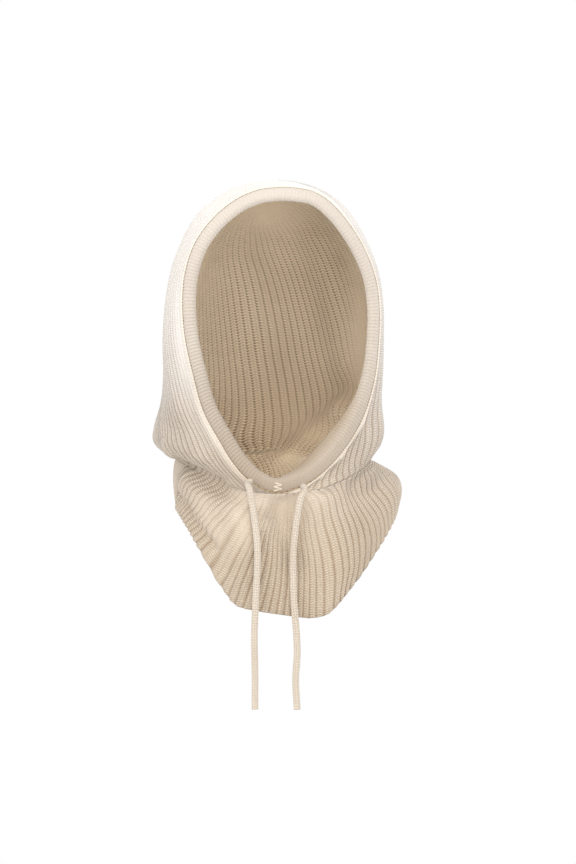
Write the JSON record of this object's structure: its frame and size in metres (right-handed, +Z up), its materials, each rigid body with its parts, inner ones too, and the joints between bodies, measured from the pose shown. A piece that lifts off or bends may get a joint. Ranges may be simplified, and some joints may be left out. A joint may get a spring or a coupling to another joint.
{
  "type": "snood hood",
  "caption": "Rib knit hood that runs on into a draped neck bib, open at the face, with a drawstring tunnel round the opening and two hanging cord ends.",
  "frame": {"origin": "inside of the crown, where the hood rests on the top of the head", "axes": "+Z up, the face opening looks along -Y, +X is the viewer's right"},
  "size_m": [0.2288, 0.2201, 0.4718],
  "materials": {
    "rib_knit": "soft matt rib knit in cream beige wool blend",
    "casing_knit": "soft matt knit turned over as a tunnel, with fine ribs across it",
    "cord_knit": "matt tubular knit cord"
  },
  "bodies": {
    "root": {"hood": "rib_knit", "face_casing": "casing_knit", "drawcord_channel": "cord_knit", "drawcord_left": "cord_knit", "drawcord_right": "cord_knit"}
  },
  "joints": []
}
